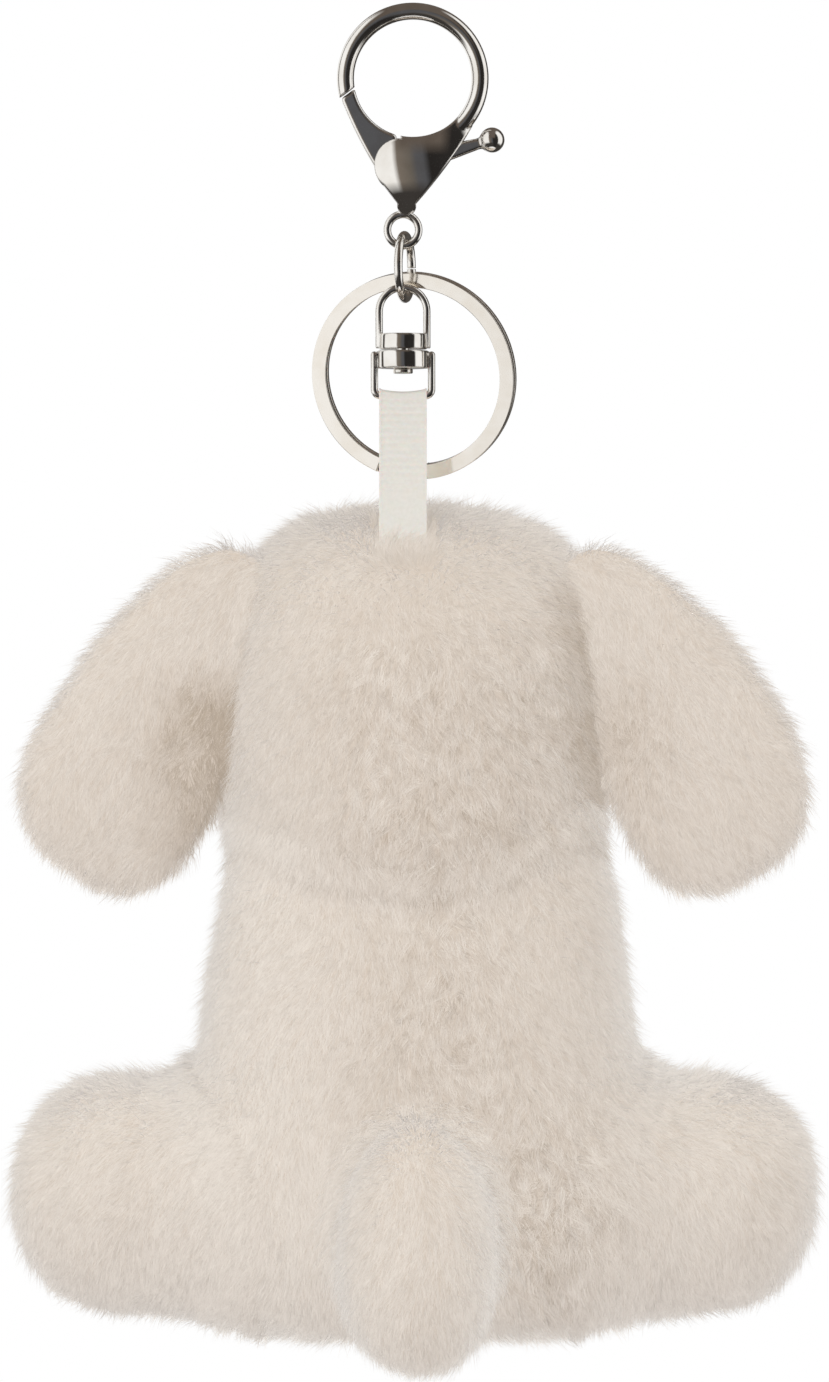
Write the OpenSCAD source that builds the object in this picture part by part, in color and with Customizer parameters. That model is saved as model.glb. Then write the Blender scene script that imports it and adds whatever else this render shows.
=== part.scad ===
// Plush keychain: a trigger clasp, a jump ring, a split key ring, a swivel and a
// ribbon strap that carries a stuffed, lop-eared animal. Millimetres, +Z up.
// The origin is the centre of the clasp's eye. The animal's back faces -Y.

/* [Clasp] */
// Clear radius of the clasp's eye
eye_r = 8.65; // [7.5:0.05:10]
// Diameter of the hook's round bar
hook_bar = 2.5; // [2:0.1:3]
// Height from the eye's centre down to the nose of the body
nose_drop = 20.1; // [19:0.1:22]
// Thickness of the domed body at its middle
body_t = 6.2; // [5.4:0.1:7]
// Radius of the domes on the body's two faces
dome_r = 15; // [14:1:30]
// Radius of the rounded boss round the lever's pivot
boss_r = 3.85; // [3.6:0.05:4.4]
// Thickness of the lever
lever_t = 1.6; // [1.2:0.1:2]
// Diameter of the ball at the end of the thumb arm
ball_d = 3.7; // [3:0.1:4.5]
// How far the lever turns to open the gate, in degrees
lever_travel = 24; // [15:1:26]
// Diameter of the pivot pin
pin_d = 1.6; // [1.2:0.1:2]
// Wire of the return spring
spring_wire = 0.3; // [0.2:0.02:0.34]
// Outer diameter of the eyelet under the nose
eyelet_od = 5.75; // [5:0.05:7]
// Wire of the eyelet
eyelet_wire = 1.15; // [0.9:0.05:1.4]

/* [Rings] */
// Inner diameter of the jump ring
jump_id = 8; // [7.6:0.1:10]
// Wire of the jump ring
jump_wire = 1.3; // [1:0.05:1.5]
// Outer diameter of the split ring
split_od = 30.8; // [26:0.2:36]
// Radial width of the split ring's strip
split_band = 2.15; // [1.8:0.05:2.6]
// Thickness of the split ring's strip, which lies in two layers
split_strip = 0.9; // [0.8:0.05:1.1]

/* [Swivel] */
// Outer width of the upper loop
loop_w = 8.1; // [7.6:0.1:9]
// Wire of the upper loop and the bail
swivel_wire = 1.1; // [0.9:0.05:1.2]
// Height of the upper barrel
upper_barrel_h = 2.3; // [1.8:0.1:3]
// Diameter of the lower barrel
lower_barrel_d = 7.4; // [6.8:0.1:7.8]
// Height of the lower barrel
lower_barrel_h = 2.6; // [2:0.1:3.2]
// Diameter of the rivet that the swivel turns on
rivet_d = 1.8; // [1.4:0.1:2.4]
// Height of the bail's legs below the barrels
bail_drop = 4; // [3.6:0.1:6]

/* [Strap] */
// Width of the ribbon
strap_w = 7; // [5:0.1:8]
// Thickness of the ribbon
strap_t = 0.45; // [0.3:0.05:0.6]
// Length from the bail's bar to where the ribbon goes into the head
strap_drop = 20.5; // [18:0.5:26]

/* [Plush] */
// Width of the head
head_w = 55; // [46:1:60]
// Depth of the head, front to back
head_d = 53; // [46:1:60]
// Height of the head
head_h = 57; // [50:1:62]
// Width of the body
body_w = 61; // [52:1:68]
// Depth of the body
body_d = 40; // [34:1:48]
// Height of the body, with the part that goes up under the head
body_h = 84; // [74:1:90]
// Length of a hind leg, with the part inside the body
leg_l = 50; // [45:0.5:58]
// Height of a hind leg
leg_h = 31.8; // [27:0.1:36]
// Length of a front paw, with the part inside the body
arm_l = 30; // [26:1:36]
// Thickness of a front paw
arm_d = 15; // [12:1:18]
// Length of an ear
ear_l = 52.5; // [44:0.5:58]
// Width of an ear
ear_w = 25.5; // [19:0.5:28]
// Thickness of an ear
ear_t = 9; // [7:0.5:11]
// Width of the tail
tail_w = 20.5; // [17:0.5:25]
// Height of the tail
tail_h = 34; // [28:0.5:38]
// Thickness of the fur cloth
cover_t = 1.6; // [1:0.1:2.4]
// Diameter of a bead eye
eye_d = 7; // [5:0.5:9]
// Width of the nose
nose_w = 8; // [6:0.5:10]

/* [Hidden] */
$fn = 48;

// Clearances
run_gap = 0.05;      // a pin in its bore
side_gap = 0.15;     // the lever beside the clasp's plates
gate_gap = 0.25;     // the gate under the hook's tip
hang_gap = 0.18;     // a ring on the wire that it hangs from
seam_gap = 0.12;     // sewn or stuffed pieces that lie against each other
flap_gap = 0.4;      // an ear beside the head

// Colours
nickel = [0.82, 0.82, 0.81];
ivory = [0.88, 0.86, 0.80];
cream = [0.86, 0.81, 0.75];
batting = [0.95, 0.95, 0.93];
black_bead = [0.06, 0.05, 0.05];

// Clasp
hook_r = eye_r + hook_bar / 2;
hook_root = -72;                       // angle at which the hook grows out of the body
hook_end = 192;                        // angle of the hook's free tip
joint_slope = 36;                      // slant of the joint between the hook's tip and the gate
pivot = [-1.8, -eye_r - 4.15];
tip_r = 1.4;
tip = [-0.9, tip_r - nose_drop];
hang_x = -1.45;                        // the line that everything below the clasp hangs on
slot_t = lever_t + 2 * side_gap;
arm_angle = 15.6;                      // rest angle of the thumb arm
arm_len = 13.95;
arm_root_w = 3.8;
arm_tip_w = 1.3;
gate_ray = 97.9;                       // angle of the gate's inner edge, seen from the pivot
hub_r = boss_r - 0.55;
pin_len = slot_t + 1.4;
spring_r = pin_d / 2 + 0.7;
spring_turns = 2;
pocket_r = spring_r + spring_wire / 2 + 0.25;
pocket_t = lever_t - 0.4;
spring_end_gap = 0.1;
spring_room = pocket_t + side_gap - spring_wire - 2.5 * spring_end_gap;
spring_pitch = max(spring_wire + 0.04, spring_room / spring_turns);
gate_joint = turned([hook_r, 0], hook_end);

// Rings
eyelet_r = (eyelet_od - eyelet_wire) / 2;
eyelet_z = -nose_drop - eyelet_od / 2 + 0.7;
eyelet_low = eyelet_z - eyelet_r;      // centre of the wire that the jump ring hangs on
jump_r = (jump_id + jump_wire) / 2;
jump_y = 1.3;                          // the jump ring's centre lies between the swivel and the key ring
jump_z = eyelet_low + (eyelet_wire + jump_wire) / 2 + hang_gap - sqrt(jump_r * jump_r - jump_y * jump_y);
jump_yaw = -12;
jump_slit = 2;                         // degrees of the slit where the jump ring was closed
jump_low = jump_z - sqrt(jump_r * jump_r - jump_y * jump_y);
split_layer = split_strip + 0.12;      // from one layer of the strip to the next
split_t = split_strip + split_layer;
split_front = 1.75;                    // front face of the split ring at its top, behind the swivel
split_back = split_front + split_t - jump_y;
split_top = jump_z - sqrt(pow(jump_id / 2, 2) - split_back * split_back) + hang_gap;
split_ri = split_od / 2 - split_band;
split_tilt = 11;                       // the split ring's lower side leans back behind the strap
split_yaw = -15;                       // and its right side comes forward
split_x = 0.75;                        // the split ring's centre lies right of the hanging line
split_joggle = 30;                     // degrees over which the strip steps from one layer to the next
split_end = -84;                       // angle of the strip's front end

// Swivel
loop_r = (loop_w - swivel_wire) / 2;
loop_top = jump_low + (jump_wire + swivel_wire) / 2 + hang_gap;
loop_c = loop_top - loop_r;
loop_leg = 5.6;
upper_barrel_d = 2 * loop_r - 0.1;     // the loop's legs are let into the barrel's side
upper_low = loop_c - loop_leg;
barrel_gap = 0.2;
lower_top = upper_low - barrel_gap;
lower_low = lower_top - lower_barrel_h;
rivet_head_d = rivet_d + 1.1;
rivet_head_h = 0.7;
bail_x = strap_w / 2 + 0.15 + swivel_wire / 2;
bail_low = lower_low - bail_drop;      // centre of the bar that the strap goes round
bail_bend = bail_x - strap_w / 2 + 0.2;  // keeps the bar straight under the whole ribbon

// Strap
strap_ri = swivel_wire / 2 + 0.12;
strap_ro = strap_ri + strap_t;
split_low = split_top - (split_od - split_band) * cos(split_tilt);
strap_len = max(strap_drop, bail_low - split_low + 5.5);  // keeps the head below the split ring
strap_end = bail_low - strap_len;      // where the ribbon meets the head
strap_tail = 5;                        // length sewn in under the fur cloth
strap_lean = 2.8;                      // the ribbon's lower end lies this far back, on the head

// Plush; a bluntness is how square a piece is across, then front to back in its upper and lower half
plush_x = 0.2;
head_z = strap_end - head_h / 2 + 3.2;
head_y = 12.2;
head_c = [plush_x, head_y, head_z];
head_size = [head_w, head_d, head_h];
head_taper = -0.05;
head_blunt = [3.3, 2.2, 5];            // its back runs straight down to the neck
body_y = 3;
body_z = head_z - 49.5;
body_x = plush_x + 0.6;                // the body sits a little right of the head
body_c = [body_x, body_y, body_z];
body_size = [body_w, body_d, body_h];
body_taper = -0.165;
body_blunt = [3.8, 2, 3.5];
leg_yaw = 22;                          // the legs splay out and a little forward
leg_hip = [9.5, -1, body_z - 22.4];
leg_size = [leg_h + 1, leg_h, leg_l];
leg_taper = 0.06;
leg_blunt = [3, 3, 3];
arm_pitch = 62;
arm_size = [arm_d, arm_d, arm_l];
arm_root = [15.5, 14.5, body_z + 8];
arm_toe = 12;                          // the front paws turn in
arm_sunk = 8;                          // length of a front paw inside the body
arm_taper = 0.08;
arm_blunt = [2.6, 2.6, 2.6];
ear_tilt = 30;                         // the ears hang outwards
ear_bow = 1.8;                         // and bow out between root and tip
ear_size = [ear_w, ear_t, ear_l];
ear_taper = -0.24;
ear_blunt = [2.8, 2.5, 2.5];
ear_root = [head_w / 2 - 4.6, head_y - 7, head_z + head_h / 2 - 6.8];
tail_size = [tail_w, tail_w + 1.5, tail_h];
tail_taper = -0.06;
tail_blunt = [2.3, 2.3, 2.3];
tail_lean = -8;
tail_c = [plush_x + 0.4, body_y - body_d / 2 - 2.5, body_z - 28.2];
neck_r = 12;                           // the opening between head and body
stuff_gap = 0.8;                       // stuffing inside its cover
eye_gap = 22;                          // between the bead eyes
eye_up = 3;                            // above the middle of the head
nose_up = -6;
shank_d = 2.4;
shank_l = 6;
washer_d = 8;
washer_t = 1;
washer_sunk = cover_t + 1.7;           // a washer's outer face, under the cloth

// Outlines and curves

function quad(p, q, r, n = 10) =
    [for (i = [0 : n]) let (t = i / n) (1 - t) * (1 - t) * p + 2 * t * (1 - t) * q + t * t * r];

function turned(p, a) = [p.x * cos(a) - p.y * sin(a), p.x * sin(a) + p.y * cos(a)];

// Stands an outline up in the XZ plane as a plate of thickness t
module plate(t) {
    rotate([90, 0, 0]) linear_extrude(t, center = true) children();
}

// A round peg through the plates at a point of the XZ plane
module peg(at, r, t) {
    translate([at.x, 0, at.y]) rotate([90, 0, 0]) cylinder(r = r, h = t, center = true);
}

module torus(r, wire, angle = 360, start = 0) {
    rotate([0, 0, start]) rotate_extrude(angle = angle) translate([r, 0]) circle(wire / 2);
}

// A straight round bar between two points in one vertical plane
module bar(from, to, d) {
    v = to - from;
    translate(from) rotate([0, acos(v.z / norm(v)), atan2(v.y, v.x)]) cylinder(d = d, h = norm(v));
}

// Soft forms: stuffed pieces that swell in the middle and taper to one end

function swell(s, blunt) = pow(max(0, 1 - pow(abs(s), blunt)), 1 / blunt);

function plump_points(size, taper, blunt, bow, sides, rings) = concat(
    [[0, 0, -size.z / 2]],
    [for (i = [1 : rings - 1], j = [0 : sides - 1])
        let (s = -cos(180 * i / rings), a = 360 * j / sides, k = 1 + taper * s)
        [size.x / 2 * k * swell(s, blunt[0]) * cos(a) + bow * (1 - s * s),
         size.y / 2 * k * swell(s, blunt[s < 0 ? 2 : 1]) * sin(a),
         size.z / 2 * s]],
    [[0, 0, size.z / 2]]
);

function plump_faces(sides, rings) =
    let (last = 1 + sides * (rings - 1))
    concat(
        [for (j = [0 : sides - 1]) [0, 1 + j, 1 + (j + 1) % sides]],
        [for (i = [0 : rings - 3], j = [0 : sides - 1], k = [0, 1])
            let (a = 1 + i * sides + j, b = 1 + i * sides + (j + 1) % sides)
            k == 0 ? [a, a + sides, b + sides] : [a, b + sides, b]],
        [for (j = [0 : sides - 1])
            [last, last - sides + (j + 1) % sides, last - sides + j]]
    );

module plump(size, taper, blunt, sides, rings, bow = 0) {
    polyhedron(plump_points(size, taper, blunt, bow, sides, rings), plump_faces(sides, rings));
}

// One closed triangle surface of whatever is inside
module one_skin() {
    resize([0, 0, 0]) children();
}

module head_form(grow = 0, sides = 24, rings = 14) {
    translate(head_c) plump(head_size + [2, 2, 2] * grow, head_taper, head_blunt, sides, rings);
}

module body_form(grow = 0, sides = 24, rings = 14) {
    translate(body_c) plump(body_size + [2, 2, 2] * grow, body_taper, body_blunt, sides, rings);
}

module leg_form(side, grow = 0, sides = 20, rings = 10) {
    translate([plush_x + side * leg_hip.x, leg_hip.y, leg_hip.z])
        rotate([0, 0, side > 0 ? leg_yaw : 180 - leg_yaw])
            rotate([0, 90, 0])
                translate([0, 0, leg_l / 2])
                    plump(leg_size + [2, 2, 2] * grow, leg_taper, leg_blunt, sides, rings);
}

module arm_form(side, grow = 0, sides = 16, rings = 8) {
    translate([plush_x + side * arm_root.x, arm_root.y, arm_root.z])
        rotate([-180 + arm_pitch, 0, -side * arm_toe])
            translate([0, 0, arm_l / 2 - arm_sunk])
                plump(arm_size + [2, 2, 2] * grow, arm_taper, arm_blunt, sides, rings);
}

module tail_form(grow = 0, sides = 20, rings = 10) {
    translate(tail_c) rotate([tail_lean, 0, 0])
        plump(tail_size + [2, 2, 2] * grow, tail_taper, tail_blunt, sides, rings);
}

// An ear's local +Z runs from its tip up to its root
module ear_form(side) {
    translate([plush_x + side * ear_root.x, ear_root.y, ear_root.z])
        rotate([0, -side * ear_tilt, 0])
            translate([0, 0, -ear_l / 2])
                plump(ear_size, ear_taper, ear_blunt, 20, 12, side * ear_bow);
}

// Clasp

// The shield that the plates are cut from
module shield(t) {
    right = turned([hook_r + hook_bar / 2 - 0.1, 0], -26);
    difference() {
        union() {
            plate(t) polygon(concat(
                [turned([hook_r, 0], -12)],
                quad(right, turned([hook_r + 2.9, 0], -56.6), [tip.x + 1.25, tip.y + 0.2]),
                [tip + [-1.25, 0.2], pivot + turned([boss_r - 0.1, 0], 210),
                 pivot, [pivot.x, pivot.y + boss_r + 2]]
            ));
            peg(pivot, boss_r, t);
            peg(tip, tip_r, t);
        }
        peg([0, 0], eye_r + 0.12, 2 * t);
    }
}

// The room that the lever sweeps between the plates
module lever_room() {
    c = side_gap;
    far = 18;
    near = boss_r + 3;
    gate_low = gate_ray - lever_travel - 3;
    gate_high = 232;
    translate(pivot) {
        circle(hub_r + c);
        polygon(concat(
            [[0, 0]],
            [for (i = [0 : 4]) turned([near, 0], gate_low + (gate_high - gate_low) * i / 4)]
        ));
        polygon([
            turned([0, arm_root_w / 2 + c], arm_angle),
            turned([far, arm_tip_w / 2], arm_angle),
            turned([far, -arm_tip_w / 2], arm_angle - lever_travel - 2),
            turned([0, -arm_root_w / 2 - c], arm_angle - lever_travel - 2)
        ]);
    }
}

module clasp_body() {
    dome = [1.2, 0, pivot.y + 0.8];
    color(nickel) difference() {
        union() {
            intersection() {
                shield(2 * body_t);
                translate(dome + [0, dome_r - body_t / 2, 0]) sphere(dome_r, $fn = 240);
                translate(dome - [0, dome_r - body_t / 2, 0]) sphere(dome_r, $fn = 240);
            }
            difference() {
                rotate([90, 0, 0]) torus(hook_r, hook_bar, hook_end + 6 - hook_root, hook_root);
                gate_cut(0) translate([-4, -12]) square([8, 12]);
            }
            translate([hang_x, 0, eyelet_z]) rotate([90, 0, 0]) torus(eyelet_r, eyelet_wire);
        }
        plate(slot_t) difference() {
            lever_room();
            circle(eye_r - 0.5);
        }
        peg(pivot, pin_d / 2, pin_len);
    }
}

// Places an outline at the slanted joint of the hook and the gate, drop below the hook's face
module gate_cut(drop) {
    plate(3 * hook_bar) translate(gate_joint) rotate(joint_slope) translate([0, -drop]) children();
}

module lever_outline() {
    difference() {
        union() {
            translate(pivot) circle(hub_r);
            polygon(concat(
                [gate_joint + [-2.5, 1]],
                quad(turned([hook_r + 1.14, 0], 193), turned([hook_r + 2.56, 0], 230.4),
                     pivot + turned([hub_r, 0], 213)),
                [pivot, pivot + turned([6, 0], gate_ray), [0, 2]]
            ));
            translate(pivot) rotate(arm_angle)
                polygon([[0, arm_root_w / 2], [arm_len - 0.6, arm_tip_w / 2],
                         [arm_len - 0.6, -arm_tip_w / 2], [0, -arm_root_w / 2]]);
        }
        circle(eye_r);
    }
}

module clasp_lever() {
    ball = pivot + turned([arm_len, 0], arm_angle);
    color(nickel) difference() {
        union() {
            difference() {
                plate(lever_t) lever_outline();
                gate_cut(gate_gap) translate([-6, 0]) square([12, 12]);
            }
            translate([ball.x, 0, ball.y]) sphere(d = ball_d);
        }
        translate([pivot.x, 0, pivot.y]) rotate([90, 0, 0]) {
            cylinder(r = pin_d / 2 + run_gap, h = 2 * lever_t, center = true);
            translate([0, 0, lever_t / 2 - pocket_t]) cylinder(r = pocket_r, h = lever_t);
        }
    }
}

module clasp_pin() {
    color(nickel) peg(pivot, pin_d / 2, pin_len);
}

// The return spring: turns of wire round the pin, in the pocket of the lever's hub
module clasp_spring() {
    steps = 12;
    sides = 6;
    count = spring_turns * steps;
    points = [for (i = [0 : count], j = [0 : sides - 1])
        let (a = 360 * i / steps, b = 360 * j / sides, r = spring_r + spring_wire / 2 * cos(b))
        [r * cos(a), r * sin(a), spring_pitch * i / steps + spring_wire / 2 * sin(b)]];
    walls = [for (i = [0 : count - 1], j = [0 : sides - 1], k = [0, 1])
        let (a = i * sides + j, b = i * sides + (j + 1) % sides)
        k == 0 ? [a, a + sides, b + sides] : [a, b + sides, b]];
    ends = [for (j = [1 : sides - 2], k = [0, 1])
        k == 0 ? [0, j, j + 1] : [count * sides, count * sides + j + 1, count * sides + j]];
    color(nickel) translate([pivot.x, 0, pivot.y]) rotate([90, 0, 0])
        translate([0, 0, lever_t / 2 - pocket_t + spring_wire / 2 + spring_end_gap])
            polyhedron(points, concat(walls, ends));
}

// Rings

module jump_ring() {
    color(nickel) translate([hang_x, 0, 0]) rotate([0, 0, jump_yaw])
        translate([0, jump_y, jump_z]) rotate([0, 90, 0])
            torus(jump_r, jump_wire, 360 - jump_slit, 90 + jump_slit / 2);
}

// A flat strip wound twice round, with a joggle from the front layer to the back one
module split_strip_ring() {
    turn = 360 - split_joggle;
    for (layer = [0, 1])
        translate([0, 0, -layer * split_layer]) rotate([0, 0, split_end])
            rotate_extrude(angle = turn) translate([split_ri, -split_strip])
                square([split_band, split_strip]);
    steps = 6;
    lap = 1;        // degrees by which the joggle runs into the strip at each end
    inset = 0.01;   // and it is this much smaller all round, so that its faces lie inside the strip's
    start = split_end + turn - lap;
    points = [for (i = [0 : steps], p = [[0, 0], [1, 0], [1, -1], [0, -1]])
        let (a = start + (split_joggle + 2 * lap) * i / steps,
             r = split_ri + inset + (split_band - 2 * inset) * p.x,
             z = (split_strip - 2 * inset) * p.y - inset - split_layer * (1 - cos(180 * i / steps)) / 2)
        [r * cos(a), r * sin(a), z]];
    walls = [for (i = [0 : steps - 1], j = [0 : 3], k = [0, 1])
        let (a = 4 * i + j, b = 4 * i + (j + 1) % 4)
        k == 0 ? [a, b + 4, b] : [a, a + 4, b + 4]];
    last = 4 * steps;
    ends = [[0, 1, 2], [0, 2, 3], [last, last + 2, last + 1], [last, last + 3, last + 2]];
    polyhedron(points, concat(walls, ends));
}

module split_ring() {
    color(nickel) translate([hang_x, split_front, split_top])
        rotate([0, 0, split_yaw]) rotate([split_tilt, 0, 0])
            translate([split_x, 0, -split_ri]) rotate([90, 0, 0]) split_strip_ring();
}

// Swivel

module swivel_loop() {
    color(nickel) translate([hang_x, 0, 0]) difference() {
        union() {
            translate([0, 0, loop_c]) rotate([90, 0, 0]) torus(loop_r, swivel_wire, 180, 0);
            for (side = [-1, 1])
                bar([side * loop_r, 0, upper_low + 0.15], [side * loop_r, 0, loop_c], swivel_wire);
            translate([0, 0, upper_low]) cylinder(d = upper_barrel_d, h = upper_barrel_h);
        }
        translate([0, 0, upper_low - 1]) cylinder(d = rivet_d, h = upper_barrel_h + 2);
        translate([0, 0, upper_low + upper_barrel_h - rivet_head_h])
            cylinder(d = rivet_head_d, h = 2 * rivet_head_h);
    }
}

module swivel_rivet() {
    top = upper_low + upper_barrel_h;
    low = lower_low - run_gap;
    color(nickel) translate([hang_x, 0, 0]) {
        translate([0, 0, low - rivet_head_h]) cylinder(d = rivet_head_d, h = rivet_head_h);
        translate([0, 0, low]) cylinder(d = rivet_d, h = top - low - rivet_head_h / 2);
        translate([0, 0, top - rivet_head_h]) cylinder(d = rivet_head_d, h = rivet_head_h);
    }
}

module swivel_bail() {
    leg_top = lower_top - swivel_wire / 2 - 0.1;
    bend_z = bail_low + bail_bend;
    color(nickel) translate([hang_x, 0, 0]) difference() {
        union() {
            translate([0, 0, lower_low]) cylinder(d = lower_barrel_d, h = lower_barrel_h);
            for (side = [-1, 1]) {
                translate([side * bail_x, 0, leg_top]) sphere(d = swivel_wire);
                bar([side * (lower_barrel_d / 2 - 0.6), 0, leg_top], [side * bail_x, 0, leg_top],
                    0.9 * swivel_wire);
                bar([side * bail_x, 0, bend_z], [side * bail_x, 0, leg_top], swivel_wire);
                translate([side * (bail_x - bail_bend), 0, bend_z]) rotate([90, 0, 0])
                    torus(bail_bend, swivel_wire, 90, side > 0 ? 270 : 180);
            }
            translate([0, 0, bail_low]) rotate([0, 90, 0])
                cylinder(d = swivel_wire, h = 2 * (bail_x - bail_bend), center = true);
        }
        translate([0, 0, lower_low - 1]) cylinder(r = rivet_d / 2 + run_gap, h = lower_barrel_h + 2);
    }
}

// Strap

// Side view of the folded ribbon: round the bar, then two plies together down to the head
module strap_profile(grow) {
    meet = 7;
    ply = strap_t + grow;
    low = -strap_len - strap_tail - grow;
    polygon(concat(
        [for (a = [-20 : 20 : 200]) turned([strap_ro + grow, 0], a)],
        [[-ply, -meet], [-ply - strap_lean, low], [ply - strap_lean, low], [ply, -meet]]
    ));
}

module strap_solid(grow = 0) {
    translate([hang_x, 0, bail_low]) rotate([90, 0, 90])
        linear_extrude(strap_w + 2 * grow, center = true) strap_profile(grow);
}

module strap() {
    color(ivory) difference() {
        strap_solid();
        translate([hang_x, 0, bail_low]) rotate([0, 90, 0])
            cylinder(r = strap_ri, h = 2 * strap_w, center = true);
    }
}

// Plush

// Places a bead's shank, pointing out of the face, at x across and z up from the head's middle
module on_face(x, up) {
    s = 2 * up / head_h;
    half = head_d / 2 * (1 + head_taper * s) * swell(s, head_blunt[s < 0 ? 2 : 1]);
    across = head_w / 2 * (1 + head_taper * s) * swell(s, head_blunt[0]);
    y = half * sqrt(1 - pow(x / across, 2));
    turn = -atan2(x / (across * across), y / (half * half));
    translate(head_c + [x, y, up]) rotate([0, 0, turn]) rotate([-90, 0, 0]) children();
}

module bead_shank(grow = 0) {
    translate([0, 0, -shank_l - grow]) cylinder(d = shank_d + 2 * grow, h = shank_l + 0.6 + grow);
}

module washer(grow = 0) {
    translate([0, 0, -washer_sunk - washer_t - grow])
        cylinder(d = washer_d + 2 * grow, h = washer_t + 2 * grow);
}

module beads() {
    for (side = [-1, 1]) on_face(side * eye_gap / 2, eye_up) children();
    on_face(0, nose_up) children();
}

module head_cover() {
    color(cream) one_skin() difference() {
        head_form();
        head_form(-cover_t, 18, 10);
        translate([plush_x, body_y + 2, head_z - head_h / 2 - 1])
            cylinder(r = neck_r, h = 8, $fn = 24);
        strap_solid(seam_gap);
        beads() bead_shank(seam_gap, $fn = 16);
    }
}

module head_stuffing() {
    color(batting) one_skin() difference() {
        head_form(-cover_t - 1.5 * stuff_gap, 16, 8);
        strap_solid(seam_gap);
        beads() {
            bead_shank(2 * seam_gap, $fn = 12);
            translate([0, 0, -washer_t]) washer(washer_t + seam_gap, $fn = 16);
        }
    }
}

module body_cover() {
    color(cream) one_skin() difference() {
        body_form();
        body_form(-cover_t, 18, 10);
        head_form(seam_gap);
    }
}

module body_stuffing() {
    color(batting) one_skin() difference() {
        body_form(-cover_t - stuff_gap, 16, 8);
        head_form(2 * seam_gap);
    }
}

module ear(side) {
    color(cream) one_skin() difference() {
        ear_form(side);
        head_form(flap_gap);
    }
}

module leg_cover(side) {
    color(cream) one_skin() difference() {
        leg_form(side);
        leg_form(side, -cover_t, 14, 7);
        body_form(seam_gap);
    }
}

module leg_stuffing(side) {
    color(batting) one_skin() difference() {
        leg_form(side, -cover_t - stuff_gap, 12, 6);
        body_form(2 * seam_gap);
    }
}

module arm_cover(side) {
    color(cream) one_skin() difference() {
        arm_form(side);
        arm_form(side, -cover_t, 12, 6);
        body_form(seam_gap);
        head_form(seam_gap);
    }
}

module arm_stuffing(side) {
    color(batting) one_skin() difference() {
        arm_form(side, -cover_t - stuff_gap, 10, 6);
        body_form(2 * seam_gap);
        head_form(2 * seam_gap);
    }
}

module tail_cover() {
    color(cream) one_skin() difference() {
        tail_form();
        tail_form(-cover_t, 14, 7);
        body_form(seam_gap);
    }
}

module tail_stuffing() {
    color(batting) one_skin() difference() {
        tail_form(-cover_t - stuff_gap, 12, 6);
        body_form(2 * seam_gap);
    }
}

// A domed bead with the shank that goes through the cloth
module bead(w, t) {
    r = (w * w / 4 + t * t) / (2 * t);
    intersection() {
        translate([0, 0, t - r]) sphere(r);
        translate([0, 0, 0.25]) cylinder(d = 2 * w, h = t);
    }
    bead_shank();
}

module eye(side) {
    color(black_bead) on_face(side * eye_gap / 2, eye_up) bead(eye_d, eye_d * 0.45);
}

module eye_washers() {
    color(batting) for (side = [-1, 1]) on_face(side * eye_gap / 2, eye_up) difference() {
        washer();
        bead_shank(run_gap);
    }
}

module nose() {
    color(black_bead) on_face(0, nose_up) bead(nose_w, nose_w * 0.35);
}

module nose_washer() {
    color(batting) on_face(0, nose_up) difference() {
        washer();
        bead_shank(run_gap);
    }
}

clasp_body();
clasp_lever();
clasp_pin();
clasp_spring();
jump_ring();
split_ring();
swivel_loop();
swivel_rivet();
swivel_bail();
strap();
head_cover();
head_stuffing();
body_cover();
body_stuffing();
ear(-1);  // ear_left
ear(1);  // ear_right
leg_cover(-1);  // leg_left_cover
leg_stuffing(-1);  // leg_left_stuffing
leg_cover(1);  // leg_right_cover
leg_stuffing(1);  // leg_right_stuffing
arm_cover(-1);  // arm_left_cover
arm_stuffing(-1);  // arm_left_stuffing
arm_cover(1);  // arm_right_cover
arm_stuffing(1);  // arm_right_stuffing
tail_cover();
tail_stuffing();
eye(-1);  // eye_left
eye(1);  // eye_right
eye_washers();
nose();
nose_washer();
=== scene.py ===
import math

import bpy
import numpy as np
from mathutils import Matrix, Vector, kdtree


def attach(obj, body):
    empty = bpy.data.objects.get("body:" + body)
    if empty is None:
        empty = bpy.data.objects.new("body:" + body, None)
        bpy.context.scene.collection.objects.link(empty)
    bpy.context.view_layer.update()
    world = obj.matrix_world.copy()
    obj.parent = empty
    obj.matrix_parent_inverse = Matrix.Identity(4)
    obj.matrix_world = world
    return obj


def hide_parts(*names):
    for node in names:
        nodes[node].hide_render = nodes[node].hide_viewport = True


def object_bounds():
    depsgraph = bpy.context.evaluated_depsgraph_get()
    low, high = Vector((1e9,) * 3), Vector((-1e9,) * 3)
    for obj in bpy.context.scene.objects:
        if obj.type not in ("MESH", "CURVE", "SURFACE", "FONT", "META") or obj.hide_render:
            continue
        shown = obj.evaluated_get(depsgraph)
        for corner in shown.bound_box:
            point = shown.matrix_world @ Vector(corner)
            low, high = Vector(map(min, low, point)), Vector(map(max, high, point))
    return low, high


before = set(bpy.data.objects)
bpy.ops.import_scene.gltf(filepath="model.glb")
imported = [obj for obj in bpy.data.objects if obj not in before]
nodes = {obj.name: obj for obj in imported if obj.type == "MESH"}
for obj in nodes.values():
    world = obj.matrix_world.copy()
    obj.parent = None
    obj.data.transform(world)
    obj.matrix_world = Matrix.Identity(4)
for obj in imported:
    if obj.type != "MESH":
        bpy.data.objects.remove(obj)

cadLow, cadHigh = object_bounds()  # the CAD box, before anything is added
mm = 0.001
scene = bpy.context.scene
scene.view_settings.view_transform = "Standard"
print("frame loaded:", len(nodes), "CAD nodes")


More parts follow.
